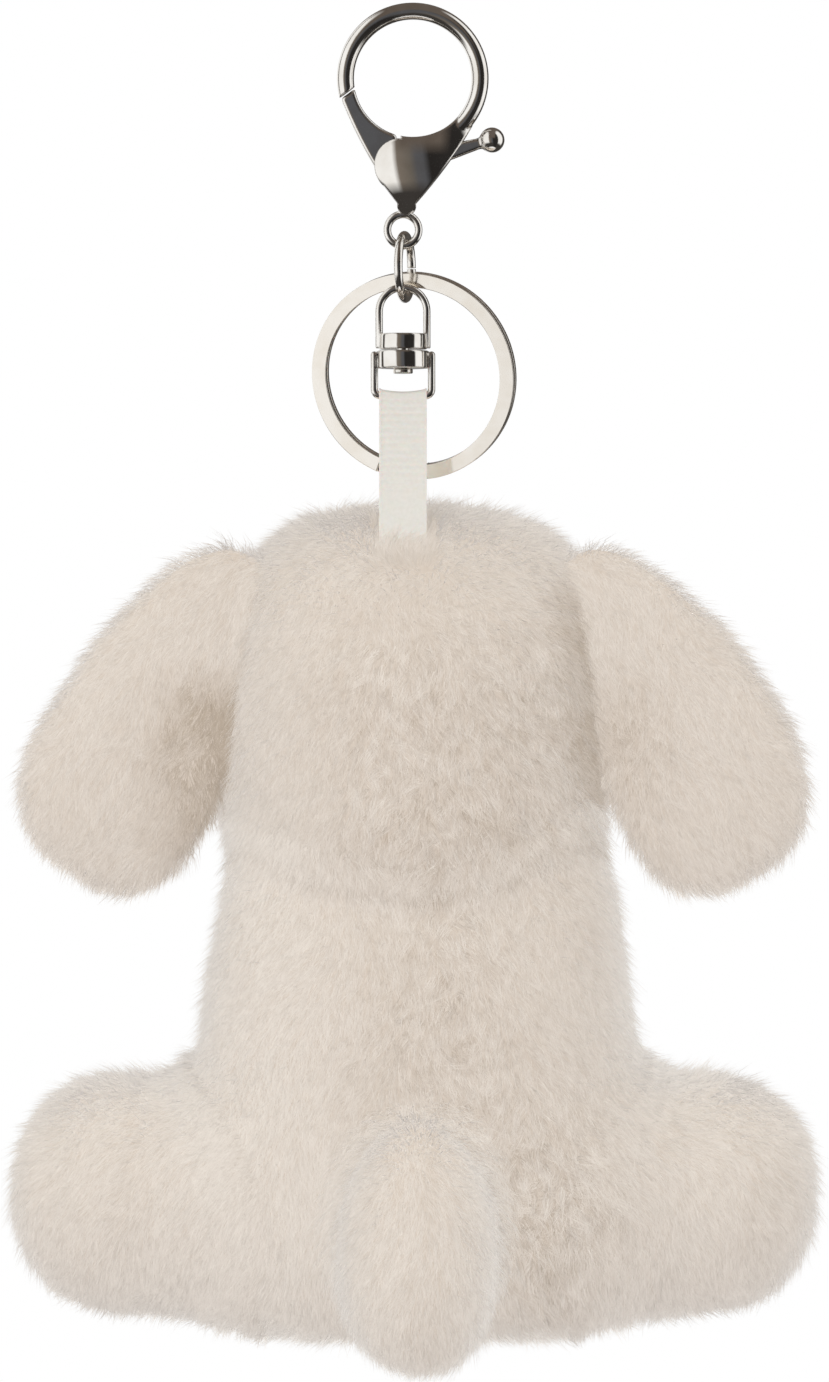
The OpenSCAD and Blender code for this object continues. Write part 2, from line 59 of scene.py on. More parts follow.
def toLinear(hexColour):
    parts = [int(hexColour[i:i + 2], 16) / 255 for i in (1, 3, 5)]
    return [c / 12.92 if c <= 0.04045 else ((c + 0.055) / 1.055) ** 2.4 for c in parts] + [1.0]


def addNode(tree, kind, settings={}, links={}):
    # settings go to a socket of that name or number, to the stops of a ramp, or else to the node itself
    node = tree.nodes.new(kind)
    for key, value in settings.items():
        if key == "stops":
            marks = node.color_ramp.elements
            while len(marks) < len(value):
                marks.new(0.5)
            for mark, (position, colour) in zip(marks, value):
                mark.position = position
                mark.color = toLinear(colour)
        elif isinstance(key, int) or key in node.inputs:
            node.inputs[key].default_value = value
        else:
            setattr(node, key, value)
    for key, source in links.items():
        tree.links.new(source, node.inputs[key])
    return node


def newMaterial(name):
    material = bpy.data.materials.new(name)
    material.use_nodes = True
    material.node_tree.nodes.clear()
    return material, material.node_tree


def addObject(name, data):
    obj = bpy.data.objects.new(name, data)
    scene.collection.objects.link(obj)
    return obj


# the camera looks straight at the animal's back, from far enough for a flat, long-lens view (mm)
cameraSet = {"lens": 200, "sensor": 36, "frameHeight": 203.15, "x": 0.25, "z": -90.04, "nearest": 10}
cameraData = bpy.data.cameras.new("viewCamera")
cameraData.lens = cameraSet["lens"]
cameraData.sensor_width = cameraSet["sensor"]  # along the long side of the upright 829 x 1382 frame
cameraData.clip_start = cameraSet["nearest"] * mm
cameraObject = addObject("viewCamera", cameraData)
cameraAway = cameraSet["frameHeight"] * mm * cameraSet["lens"] / cameraSet["sensor"]
cameraObject.location = (cameraSet["x"] * mm, -cameraAway, cameraSet["z"] * mm)
cameraObject.rotation_euler = (math.radians(90), 0, 0)
scene.camera = cameraObject
print("camera", round(cameraAway, 4), "m away")

# a soft room lights the cloth, and the metal reflects a ring of white and dark panels
roomSet = {"softLight": [(0.3, "#f3f1f2"), (0.7, "#fbfaf8")],  # from below to above
           # one turn of the room: left 0, the camera's side 0.25, right 0.5, far side 0.75
           "panels": [(0.00, "#ffffff"), (0.160, "#ffffff"), (0.176, "#7b7269"), (0.215, "#6b655e"),
                      (0.235, "#59595c"), (0.258, "#55565a"), (0.278, "#2a2827"), (0.405, "#2e2c2b"),
                      (0.425, "#ffffff"), (0.555, "#ffffff"), (0.575, "#3c3936"), (0.740, "#5c5854"),
                      (0.800, "#ffffff"), (0.915, "#ffffff"), (0.930, "#47423e"), (0.962, "#47423e"),
                      (0.975, "#ffffff")],
           "slant": 8,  # degrees that the panels lean to one side
           # a brown strip overhead, from front to back, and dark ground: where each begins and is full
           "strip": "#645b54", "stripHeight": (0.15, 0.4), "stripSide": (0.55, 0.35),
           "ground": "#3d3a38", "groundHeight": (-0.36, -0.56)}
world = bpy.data.worlds.new("studio")
scene.world = world
world.use_nodes = True
tree = world.node_tree
tree.nodes.clear()
coords = addNode(tree, "ShaderNodeTexCoord")
slanted = addNode(tree, "ShaderNodeMapping", {"Rotation": (0, math.radians(roomSet["slant"]), 0)},
                  {"Vector": coords.outputs["Generated"]})
turnAround = addNode(tree, "ShaderNodeTexGradient", {"gradient_type": "RADIAL"},
                     {"Vector": slanted.outputs["Vector"]})
panels = addNode(tree, "ShaderNodeValToRGB", {"stops": roomSet["panels"]}, {"Fac": turnAround.outputs["Fac"]})
toward = addNode(tree, "ShaderNodeSeparateXYZ", {}, {0: coords.outputs["Generated"]})
upness = addNode(tree, "ShaderNodeMapRange", {"From Min": -1.0, "From Max": 1.0}, {"Value": toward.outputs["Z"]})
sideways = addNode(tree, "ShaderNodeMath", {"operation": "ABSOLUTE"}, {0: toward.outputs["X"]})
overhead = addNode(tree, "ShaderNodeMapRange",
                   {"From Min": roomSet["stripHeight"][0], "From Max": roomSet["stripHeight"][1]},
                   {"Value": toward.outputs["Z"]})
middle = addNode(tree, "ShaderNodeMapRange",
                 {"From Min": roomSet["stripSide"][0], "From Max": roomSet["stripSide"][1]},
                 {"Value": sideways.outputs[0]})
underfoot = addNode(tree, "ShaderNodeMapRange",
                    {"From Min": roomSet["groundHeight"][0], "From Max": roomSet["groundHeight"][1]},
                    {"Value": toward.outputs["Z"]})
strip = addNode(tree, "ShaderNodeMath", {"operation": "MULTIPLY"},
                {0: overhead.outputs["Result"], 1: middle.outputs["Result"]})
roofed = addNode(tree, "ShaderNodeMix", {"data_type": "RGBA", 7: toLinear(roomSet["strip"])},
                 {0: strip.outputs[0], 6: panels.outputs["Color"]})
studio = addNode(tree, "ShaderNodeMix",
                 {"data_type": "RGBA", "blend_type": "DARKEN", 7: toLinear(roomSet["ground"])},
                 {0: underfoot.outputs["Result"], 6: roofed.outputs[2]})
softLight = addNode(tree, "ShaderNodeValToRGB", {"stops": roomSet["softLight"]}, {"Fac": upness.outputs["Result"]})
rays = addNode(tree, "ShaderNodeLightPath")
softRoom = addNode(tree, "ShaderNodeBackground", {"Strength": 1.0}, {"Color": softLight.outputs["Color"]})
metalRoom = addNode(tree, "ShaderNodeBackground", {"Strength": 1.0}, {"Color": studio.outputs[2]})
whiteRoom = addNode(tree, "ShaderNodeBackground", {"Color": toLinear("#ffffff"), "Strength": 1.0})
seen = addNode(tree, "ShaderNodeMath", {"operation": "MAXIMUM"},
               {0: rays.outputs["Is Camera Ray"], 1: rays.outputs["Is Transmission Ray"]})
lit = addNode(tree, "ShaderNodeMixShader", {},
              {0: rays.outputs["Is Glossy Ray"], 1: softRoom.outputs[0], 2: metalRoom.outputs[0]})
whole = addNode(tree, "ShaderNodeMixShader", {},
                {0: seen.outputs[0], 1: lit.outputs[0], 2: whiteRoom.outputs[0]})
addNode(tree, "ShaderNodeOutputWorld", {}, {"Surface": whole.outputs[0]})

# round soft lamps: place and size in m, power in W
lampSet = {"keyLamp": {"place": (-0.55, -0.75, 0.35), "power": 1.9, "size": 0.7},
           "fillLamp": {"place": (0.7, -0.7, 0.05), "power": 0.6, "size": 0.8},
           "backLamp": {"place": (0.45, 0.75, 0.45), "power": 2.2, "size": 0.6}}
lampAim = Vector((0, 0, -0.1))
for name, values in lampSet.items():
    lampData = bpy.data.lights.new(name, "AREA")
    lampData.shape = "DISK"
    lampData.size = values["size"]
    lampData.energy = values["power"]
    lamp = addObject(name, lampData)
    lamp.location = values["place"]
    lamp.rotation_euler = (lampAim - lamp.location).to_track_quat("-Z", "Y").to_euler()
    lamp.visible_glossy = False  # the metal sees the panels instead

# matt white paper, well below the hanging object: white where a ray sees it, and it still takes the shadow
floorSet = {"colour": "#f4f3f1", "roughness": 0.9, "corners": 64,
            "radius": 0.22, "below": 0.35}  # m; small enough that the clasp does not mirror it
floorMaterial, tree = newMaterial("whitePaperFloor")
paper = addNode(tree, "ShaderNodeBsdfPrincipled",
                {"Base Color": toLinear(floorSet["colour"]), "Roughness": floorSet["roughness"]})
glow = addNode(tree, "ShaderNodeEmission", {"Color": toLinear("#ffffff"), "Strength": 1.0})
rays = addNode(tree, "ShaderNodeLightPath")
seen = addNode(tree, "ShaderNodeMath", {"operation": "MAXIMUM"},
               {0: rays.outputs["Is Camera Ray"], 1: rays.outputs["Is Glossy Ray"]})
seenToo = addNode(tree, "ShaderNodeMath", {"operation": "MAXIMUM"},
                  {0: seen.outputs[0], 1: rays.outputs["Is Transmission Ray"]})
mixed = addNode(tree, "ShaderNodeMixShader", {}, {0: seenToo.outputs[0], 1: paper.outputs[0], 2: glow.outputs[0]})
addNode(tree, "ShaderNodeOutputMaterial", {}, {"Surface": mixed.outputs[0]})
floorMesh = bpy.data.meshes.new("floor")
corners = floorSet["corners"]
rim = [(floorSet["radius"] * math.cos(2 * math.pi * i / corners),
        floorSet["radius"] * math.sin(2 * math.pi * i / corners),
        cadLow.z - floorSet["below"]) for i in range(corners)]
floorMesh.from_pydata(rim, [], [list(range(corners))])
floorMesh.materials.append(floorMaterial)
floor = addObject("floor", floorMesh)
print("room, lamps and floor set")

# nickel plate, polished and tumbled: a bright, faintly warm mirror with fine wear marks
nickelSet = {"colour": "#f3f0eb", "worn": "#e3ded6", "roughness": 0.02, "wornRoughness": 0.07,
             "scratch": 0.35,  # mm; real ones are finer, drawn coarser to show
             "cloud": 3.0, "ripple": 0.02, "edge": 0.5}
nickelPlate, tree = newMaterial("polishedNickelPlate")
place = addNode(tree, "ShaderNodeTexCoord")
scratches = addNode(tree, "ShaderNodeTexNoise",
                    {"Scale": 1 / (nickelSet["scratch"] * mm), "Detail": 3.0, "Roughness": 0.6},
                    {"Vector": place.outputs["Object"]})
clouds = addNode(tree, "ShaderNodeTexNoise", {"Scale": 1 / (nickelSet["cloud"] * mm), "Detail": 2.0},
                 {"Vector": place.outputs["Object"]})
tint = addNode(tree, "ShaderNodeValToRGB", {"stops": [(0.4, nickelSet["colour"]), (0.8, nickelSet["worn"])]},
               {"Fac": clouds.outputs["Fac"]})
dull = addNode(tree, "ShaderNodeMapRange",
               {"From Min": 0.45, "From Max": 0.75,
                "To Min": nickelSet["roughness"], "To Max": nickelSet["wornRoughness"]},
               {"Value": scratches.outputs["Fac"]})
soft = addNode(tree, "ShaderNodeBevel", {"samples": 8, "Radius": nickelSet["edge"] * mm})
ripple = addNode(tree, "ShaderNodeBump", {"Strength": 0.03, "Distance": nickelSet["ripple"] * mm},
                 {"Height": scratches.outputs["Fac"], "Normal": soft.outputs["Normal"]})
shader = addNode(tree, "ShaderNodeBsdfPrincipled", {"Metallic": 1.0},
                 {"Base Color": tint.outputs["Color"], "Roughness": dull.outputs["Result"],
                  "Normal": ripple.outputs["Normal"]})
addNode(tree, "ShaderNodeOutputMaterial", {}, {"Surface": shader.outputs[0]})

# spring steel strip, drawn flat and nickel plated: slightly satin, so the key ring's broad faces look ivory
springSet = {"colour": "#f6f1e9", "worn": "#efe8dd", "roughness": 0.12, "draw": 2.5}
springSteel, tree = newMaterial("platedSpringSteel")
place = addNode(tree, "ShaderNodeTexCoord")
grain = addNode(tree, "ShaderNodeTexNoise", {"Scale": 1 / (springSet["draw"] * mm), "Detail": 2.0},
                {"Vector": place.outputs["Object"]})
tint = addNode(tree, "ShaderNodeValToRGB", {"stops": [(0.4, springSet["colour"]), (0.8, springSet["worn"])]},
               {"Fac": grain.outputs["Fac"]})
shader = addNode(tree, "ShaderNodeBsdfPrincipled", {"Metallic": 1.0, "Roughness": springSet["roughness"]},
                 {"Base Color": tint.outputs["Color"]})
addNode(tree, "ShaderNodeOutputMaterial", {}, {"Surface": shader.outputs[0]})

# polyester ribbon, woven with a fine cross rib: off-white, a little see-through, with a soft sheen
ribbonSet = {"colour": "#dfdcd5", "valley": "#dbd8d0", "roughness": 0.55, "sheen": 0.2, "through": 0.2,
             "thread": 0.5}  # mm; real threads are about 0.1 mm, drawn coarser to show
ribbonCloth, tree = newMaterial("wovenPolyesterRibbon")
place = addNode(tree, "ShaderNodeTexCoord")
threads = addNode(tree, "ShaderNodeTexNoise", {"Scale": 1 / (ribbonSet["thread"] * mm), "Detail": 2.0},
                  {"Vector": place.outputs["Object"]})
tint = addNode(tree, "ShaderNodeValToRGB", {"stops": [(0.35, ribbonSet["valley"]), (0.65, ribbonSet["colour"])]},
               {"Fac": threads.outputs["Fac"]})
shader = addNode(tree, "ShaderNodeBsdfPrincipled",
                 {"Roughness": ribbonSet["roughness"], "Sheen Weight": ribbonSet["sheen"],
                  "Subsurface Weight": ribbonSet["through"], "Subsurface Scale": 0.5 * mm},
                 {"Base Color": tint.outputs["Color"]})
addNode(tree, "ShaderNodeOutputMaterial", {}, {"Surface": shader.outputs[0]})

# polyester knit under the pile: only seen in partings, darker than the fibres as painted shade down in the pile
knitSet = {"dark": "#cbbeb0", "pale": "#d6cabd", "stitch": 0.8, "roughness": 0.9, "sheen": 0.2}
knitBacking, tree = newMaterial("knittedPileBacking")
place = addNode(tree, "ShaderNodeTexCoord")
stitch = addNode(tree, "ShaderNodeTexNoise", {"Scale": 1 / (knitSet["stitch"] * mm), "Detail": 2.0},
                 {"Vector": place.outputs["Object"]})
tint = addNode(tree, "ShaderNodeValToRGB", {"stops": [(0.3, knitSet["dark"]), (0.7, knitSet["pale"])]},
               {"Fac": stitch.outputs["Fac"]})
shader = addNode(tree, "ShaderNodeBsdfPrincipled",
                 {"Roughness": knitSet["roughness"], "Sheen Weight": knitSet["sheen"]},
                 {"Base Color": tint.outputs["Color"]})
addNode(tree, "ShaderNodeOutputMaterial", {}, {"Surface": shader.outputs[0]})

# acrylic pile fibres, cut and brushed: matt. The nine tones are partly the fibres' own uneven colour and partly painted
# shade and light: darker tones stand for shade at the roots, in partings and in creases, paler ones for lit sides and
# tips, so the pile looks deep
pileSet = {"tones": ["#b9aa99", "#bfb1a1", "#c5b8a9", "#cbbeb1", "#d1c5b8", "#d7ccc0", "#ddd3c8", "#e3dad0", "#e9e1d7"],
           "sheen": [0.1, 0.15, 0.25, 0.4, 0.5, 0.5, 0.5, 0.5, 0.5],  # less sheen down in the pile
           "roughness": 0.75, "specular": 0.15}
pileTones = []
for number, (tone, sheen) in enumerate(zip(pileSet["tones"], pileSet["sheen"])):
    pileTone, tree = newMaterial("brushedAcrylicPile%d" % (number + 1))
    shader = addNode(tree, "ShaderNodeBsdfPrincipled",
                     {"Base Color": toLinear(tone), "Roughness": pileSet["roughness"],
                      "Specular IOR Level": pileSet["specular"], "Sheen Weight": sheen})
    addNode(tree, "ShaderNodeOutputMaterial", {}, {"Surface": shader.outputs[0]})
    pileTones.append(pileTone)

# ABS beads, moulded black and tumbled to a gloss: near black, with small sharp highlights
beadSet = {"colour": "#15110f", "haze": 0.6, "gloss": 0.08, "dull": 0.2, "coat": 0.4}
blackBead, tree = newMaterial("mouldedBlackAbs")
place = addNode(tree, "ShaderNodeTexCoord")
haze = addNode(tree, "ShaderNodeTexNoise", {"Scale": 1 / (beadSet["haze"] * mm), "Detail": 2.0},
               {"Vector": place.outputs["Object"]})
dull = addNode(tree, "ShaderNodeMapRange", {"To Min": beadSet["gloss"], "To Max": beadSet["dull"]},
               {"Value": haze.outputs["Fac"]})
shader = addNode(tree, "ShaderNodeBsdfPrincipled",
                 {"Base Color": toLinear(beadSet["colour"]), "Coat Weight": beadSet["coat"]},
                 {"Roughness": dull.outputs["Result"]})
addNode(tree, "ShaderNodeOutputMaterial", {}, {"Surface": shader.outputs[0]})

# nylon washers, moulded inside the head: milky white and uneven
nylonSet = {"dark": "#e4e2db", "pale": "#efeee9", "cloud": 1.5, "roughness": 0.6}
milkyNylon, tree = newMaterial("mouldedNylon")
place = addNode(tree, "ShaderNodeTexCoord")
haze = addNode(tree, "ShaderNodeTexNoise", {"Scale": 1 / (nylonSet["cloud"] * mm)},
               {"Vector": place.outputs["Object"]})
tint = addNode(tree, "ShaderNodeValToRGB", {"stops": [(0.3, nylonSet["dark"]), (0.7, nylonSet["pale"])]},
               {"Fac": haze.outputs["Fac"]})
shader = addNode(tree, "ShaderNodeBsdfPrincipled", {"Roughness": nylonSet["roughness"]},
                 {"Base Color": tint.outputs["Color"]})
addNode(tree, "ShaderNodeOutputMaterial", {}, {"Surface": shader.outputs[0]})

finishes = {"clasp_body": nickelPlate, "clasp_lever": nickelPlate, "clasp_pin": nickelPlate,
            "clasp_spring": nickelPlate, "jump_ring": nickelPlate, "split_ring": springSteel,
            "swivel_loop": nickelPlate, "swivel_rivet": nickelPlate, "swivel_bail": nickelPlate,
            "eye_left": blackBead, "eye_right": blackBead, "nose": blackBead,
            "eye_washers": milkyNylon, "nose_washer": milkyNylon}
tumbleSet = {"edges": {"clasp_lever": 0.45, "split_ring": 0.1, "swivel_loop": 0.15, "swivel_bail": 0.15,
                       "swivel_rivet": 0.12},  # mm that tumbling took off the sharp edges
             "sharp": 40, "flat": 0.3, "weld": 0.002, "steps": 3}  # degrees, degrees, mm
for name, finish in finishes.items():
    node = nodes[name]
    node.data.materials.clear()
    node.data.materials.append(finish)
    if name in tumbleSet["edges"]:
        weld = node.modifiers.new("weld", "WELD")
        weld.merge_threshold = tumbleSet["weld"] * mm
        flats = node.modifiers.new("flats", "DECIMATE")
        flats.decimate_type = "DISSOLVE"
        flats.angle_limit = math.radians(tumbleSet["flat"])
        bevel = node.modifiers.new("tumbledEdge", "BEVEL")
        bevel.width = tumbleSet["edges"][name] * mm
        bevel.segments = tumbleSet["steps"]
        bevel.limit_method = "ANGLE"
        bevel.angle_limit = math.radians(tumbleSet["sharp"])
        bevel.use_clamp_overlap = False
        node.modifiers.new("flatFaces", "WEIGHTED_NORMAL")
print("materials on", len(finishes), "CAD nodes")

# ribbon strap: two plies folded round the swivel's bar, ribbed near the fold and smooth lower down (mm, degrees)
strapSet = {"x": -1.45, "barZ": -46.62, "barRadius": 0.67, "width": 7.0, "ply": 0.45, "length": 25.5, "meet": 7.0,
            "lean": 2.8, "fold": (-16, 197, 6), "rounding": 2, "rib": 1.1, "ribDepth": 0.1, "perRib": 8,
            "ribbedLength": 15.0, "ribFade": 4, "dip": 0.42, "dipLength": 3, "selvedge": 0.92}


def ribbonLine():
    # middle line of the ribbon in the YZ plane: up the near side, round the bar and down the far side
    half, radius = strapSet["ply"] / 2, strapSet["barRadius"] + strapSet["ply"] / 2
    ply = lambda side: [(side * half - strapSet["lean"], -strapSet["length"]), (side * half, -strapSet["meet"])]
    fold = [(-radius * math.cos(math.radians(t)), radius * math.sin(math.radians(t)))
            for t in range(*strapSet["fold"])]
    line = np.array(ply(-1) + fold + ply(1)[::-1])
    for _ in range(strapSet["rounding"]):  # rounds the bends where the plies come together
        cut = np.stack([0.75 * line[:-1] + 0.25 * line[1:], 0.25 * line[:-1] + 0.75 * line[1:]], 1).reshape(-1, 2)
        line = np.concatenate([line[:1], cut, line[-1:]])
    run = np.concatenate([[0], np.cumsum(np.linalg.norm(np.diff(line, axis=0), axis=1))])
    even = np.arange(0, run[-1], strapSet["rib"] / strapSet["perRib"])
    return np.stack([np.interp(even, run, line[:, k]) for k in (0, 1)], 1), even


line, run = ribbonLine()
along = np.gradient(line, axis=0)
along /= np.linalg.norm(along, axis=1)[:, None]
across = np.stack([-along[:, 1], along[:, 0]], 1)
ribbed = np.clip((line[:, 1] + strapSet["ribbedLength"]) / strapSet["ribFade"], 0, 1)
ribs = strapSet["ribDepth"] * ribbed * (1 - np.cos(2 * math.pi * run / strapSet["rib"])) / 2
halfWidth = strapSet["width"] / 2
columns = np.array([-1, -0.985, -0.94, -0.91, -0.7, -0.45, -0.2, 0, 0.2, 0.45, 0.7, 0.91, 0.94, 0.985, 1])
# share of the ply's thickness at each column: the woven edge is a little thicker
thickness = np.array([0.6, 0.95, 1.0, 0.9] + 7 * [0.88] + [0.9, 1.0, 0.95, 0.6])
points, faces = [], []
for k in range(len(line)):
    # the fold hangs lower in its middle
    sag = strapSet["dip"] * np.clip((line[k, 1] + strapSet["dipLength"]) / strapSet["dipLength"], 0, 1)
    for sign in (1, -1):
        for x, thick in zip(sign * columns, thickness):
            out = sign * (strapSet["ply"] / 2 * thick - (ribs[k] if abs(x) < strapSet["selvedge"] else 0))
            y, z = line[k] + across[k] * out
            points.append((strapSet["x"] + x * halfWidth, y, strapSet["barZ"] + z - sag * (1 - x * x)))
count = 2 * len(columns)
for k in range(len(line) - 1):
    for j in range(count):
        a, b = k * count + j, k * count + (j + 1) % count
        faces.append((a, b, b + count, a + count))
faces += [list(range(count))[::-1], [(len(line) - 1) * count + j for j in range(count)]]
strapMesh = bpy.data.meshes.new("ribbonStrap")
strapMesh.from_pydata([tuple(c * mm for c in p) for p in points], [], faces)
strapMesh.materials.append(ribbonCloth)
strapMesh.shade_smooth()
strap = addObject("ribbonStrap", strapMesh)
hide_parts("strap")
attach(strap, "plush")
print("ribbon strap:", len(points), "points")


def turnOf(*steps):
    turn = Matrix.Identity(3)
    for axis, degrees in steps:
        turn = turn @ Matrix.Rotation(math.radians(degrees), 3, axis)
    return np.array(turn)


# a stuffed form swells in the middle and tapers to one end: sizes and place in mm, and how blunt it is
# across, towards its upper end and towards its lower end
def stuffedForm(size, taper, blunt, place, turn=None, shift=0.0, bow=0.0):
    turn = np.eye(3) if turn is None else turn
    return {"size": np.array(size, float), "taper": taper, "blunt": blunt, "bow": bow, "turn": turn,
            "place": np.array(place, float) + turn @ np.array([0, 0, shift])}


middleX = 0.2  # mm; the animal's own middle
forms = {"head": stuffedForm(size=(55, 53, 57), taper=-0.05, blunt=(3.3, 2.2, 5), place=(middleX, 12.2, -92.42)),
         "body": stuffedForm(size=(61, 40, 84), taper=-0.165, blunt=(3.8, 2, 3.5), place=(0.8, 3, -141.92)),
         "tail": stuffedForm(size=(20.5, 22, 34), taper=-0.06, blunt=(2.3, 2.3, 2.3),
                             place=(0.6, -19.5, -170.12), turn=turnOf(("X", -8)))}
for side, word in ((-1, "Left"), (1, "Right")):
    forms["leg" + word] = stuffedForm(size=(32.8, 31.8, 50), taper=0.06, blunt=(3, 3, 3),
                                      place=(middleX + side * 9.5, -1, -164.32),
                                      turn=turnOf(("Z", 22 if side > 0 else 158), ("Y", 90)), shift=25)
    forms["arm" + word] = stuffedForm(size=(15, 15, 30), taper=0.08, blunt=(2.6, 2.6, 2.6),
                                      place=(middleX + side * 15.5, 14.5, -133.92),
                                      turn=turnOf(("Z", -side * 12), ("X", -118)), shift=7)
    forms["ear" + word] = stuffedForm(size=(25.5, 9, 52.5), taper=-0.24, blunt=(2.8, 2.5, 2.5),
                                      place=(middleX + side * 22.9, 5.2, -70.72),
                                      turn=turnOf(("Y", -side * 30)), shift=-26.25, bow=side * 1.8)


def halfSizes(form, s, grow=0.0):
    k = 1 + form["taper"] * s
    across, upper, lower = [np.maximum(0, 1 - np.abs(s) ** b) ** (1 / b) for b in form["blunt"]]
    deep = (form["size"][1] / 2 + grow) * k * np.where(s < 0, lower, upper)
    return (form["size"][0] / 2 + grow) * k * across, deep


def softNoise(points, size, seed):
    # a smooth random field, about size mm from hill to hill, mostly between -1 and 1
    waves, stretch, level = 7, (0.7, 1.5), 3.2
    rng = np.random.default_rng(seed)
    total = 0
    for _ in range(waves):
        wave = rng.normal(size=3)
        wave *= 2 * math.pi / size / np.linalg.norm(wave) * rng.uniform(*stretch)
        total = total + np.sin(points @ wave + rng.uniform(0, 2 * math.pi))
    return total / level


def formPoint(form, s, a):
    x, y = halfSizes(form, s)
    local = np.stack([x * np.cos(a) + form["bow"] * (1 - s * s), y * np.sin(a), form["size"][2] / 2 * s], -1)
    return local @ form["turn"].T + form["place"]


def formNormal(form, t, a):
    step = 1e-3
    upward = formPoint(form, -np.cos(t + step), a) - formPoint(form, -np.cos(t - step), a)
    sideways = formPoint(form, -np.cos(t), a + step) - formPoint(form, -np.cos(t), a - step)
    normal = np.cross(sideways, upward)
    return normal / np.maximum(np.linalg.norm(normal, axis=-1, keepdims=True), 1e-12)


lumpSet = {"swell": 0.3, "swellSize": 17.0, "dimple": 0.12, "dimpleSize": 7.0}  # mm; stuffing is never quite even


def lumpy(points, normals):
    lumps = lumpSet["swell"] * softNoise(points, lumpSet["swellSize"], 5)
    lumps = lumps + lumpSet["dimple"] * softNoise(points, lumpSet["dimpleSize"], 6)
    return points + normals * lumps[..., None]


def insideForm(form, points, grow=0.0):
    local = (points - form["place"]) @ form["turn"]
    s = local[:, 2] / (form["size"][2] / 2 + grow)
    inRange = np.abs(s) < 1
    s = np.clip(s, -0.9999, 0.9999)
    x, y = halfSizes(form, s, grow)
    return inRange & (((local[:, 0] - form["bow"] * (1 - s * s)) / x) ** 2 + (local[:, 1] / y) ** 2 < 1)


def distanceTo(form, points):
    # mm outside a form, found by growing it until it takes the point in
    deepest, farthest, halvings = -4.0, 16.0, 12
    low, high = np.full(len(points), deepest), np.full(len(points), farthest)
    for _ in range(halvings):
        middle = (low + high) / 2
        inside = insideForm(form, points, middle)
        low, high = np.where(inside, low, middle), np.where(inside, middle, high)
    return (low + high) / 2


def fillCrease(roots, normals, form, reach):
    # brushed pile fills the crease beside another piece: roots rise to a smooth join, and face as it does
    near = insideForm(form, roots, reach)
    if not near.any():
        return
    step, flattest = 0.3, 0.5
    away = distanceTo(form, roots[near])
    slope = np.stack([distanceTo(form, roots[near] + shift) - away for shift in step * np.eye(3)], 1)
    slope /= np.maximum(np.linalg.norm(slope, axis=1)[:, None], 1e-6)
    away = away[:, None]
    share = np.clip(1 - away / reach, 0, 1)
    join = normals[near] * (1 - share / 2) + slope * share / 2
    steep = np.maximum(np.linalg.norm(join, axis=1)[:, None], flattest)
    roots[near] += join / steep * (reach * share ** 2 / 4 + np.maximum(-away, 0)) / steep
    normals[near] = join / steep


def shadeBeside(roots, form, reach, ragged):
    # 1 against another piece, 0 from reach mm away, with a ragged edge
    widestRag = 4
    shade = np.zeros(len(roots))
    near = insideForm(form, roots, reach + widestRag)
    shade[near] = np.clip(1 - (distanceTo(form, roots[near]) + ragged[near]) / reach, 0, 1)
    return shade


skinSet = {"rings": 56, "sides": 72, "seam": 0.2}  # seam in mm


def skinMesh(name, form, grow=0.0):
    rings, sides = skinSet["rings"], skinSet["sides"]
    t = np.linspace(0, math.pi, rings + 1)[1:-1]
    a = np.linspace(0, 2 * math.pi, sides, endpoint=False)
    t, a = [grid.ravel() for grid in np.meshgrid(t, a, indexing="ij")]
    normals = formNormal(form, t, a)
    points = lumpy(formPoint(form, -np.cos(t), a), normals) + grow * normals
    poles = [formPoint(form, np.array([s]), np.array([0.0]))[0] for s in (-1.0, 1.0)]
    points = np.concatenate([poles[:1], points, poles[1:]]) * mm
    last = len(points) - 1
    at = lambda i, j: 1 + i * sides + j % sides
    faces = [(0, at(0, j + 1), at(0, j)) for j in range(sides)]
    faces += [(at(i, j), at(i, j + 1), at(i + 1, j + 1), at(i + 1, j))
              for i in range(rings - 2) for j in range(sides)]
    faces += [(last, at(rings - 2, j), at(rings - 2, j + 1)) for j in range(sides)]
    mesh = bpy.data.meshes.new(name)
    mesh.from_pydata([tuple(p) for p in points], [], faces)
    return mesh


def makeSkin(name, form, cutBy):
    # the knitted backing of a stuffed piece, cut where it is sewn to a larger one
    obj = addObject(name, skinMesh(name, form))
    cutters = [addObject("cutter", skinMesh("cutter", forms[larger], skinSet["seam"])) for larger in cutBy]
    for cutter in cutters:
        cut = obj.modifiers.new("cut", "BOOLEAN")
        cut.operation = "DIFFERENCE"
        cut.solver = "EXACT"
        cut.object = cutter
    bpy.context.view_layer.update()
    mesh = bpy.data.meshes.new_from_object(obj.evaluated_get(bpy.context.evaluated_depsgraph_get()))
    obj.modifiers.clear()
    obj.data = mesh
    for cutter in cutters:
        bpy.data.objects.remove(cutter)
    mesh.materials.clear()
    mesh.materials.append(knitBacking)
    mesh.shade_smooth()
    return obj


# how the head's pile is brushed: down from the crown, and away from the nose on the face (mm)
headBrush = {"crown": (middleX, 8.0, -60.0), "crownScale": 30, "nose": (middleX, 30.0, -97.0), "noseScale": 14,
             "faceFrom": 22.0, "faceOver": 8.0, "waver": 16, "waverX": 0.35, "waverZ": 0.25}
# under the ribbon's end the pile stands up over it
ribbonEnd = {"half": 5, "above": -73, "over": 2, "behind": 6, "lift": (0, -0.5, 2.5)}
# places on the head that are bare of pile: x, z and radius of each bead, and the ribbon
beadSpots = [(11.2, -89.42, 3.4), (-10.8, -89.42, 3.4), (0.2, -98.42, 3.7)]
beadsFrom = 20  # mm; the beads are on the face only
ribbonSpot = {"half": 3.7, "above": -68.6}


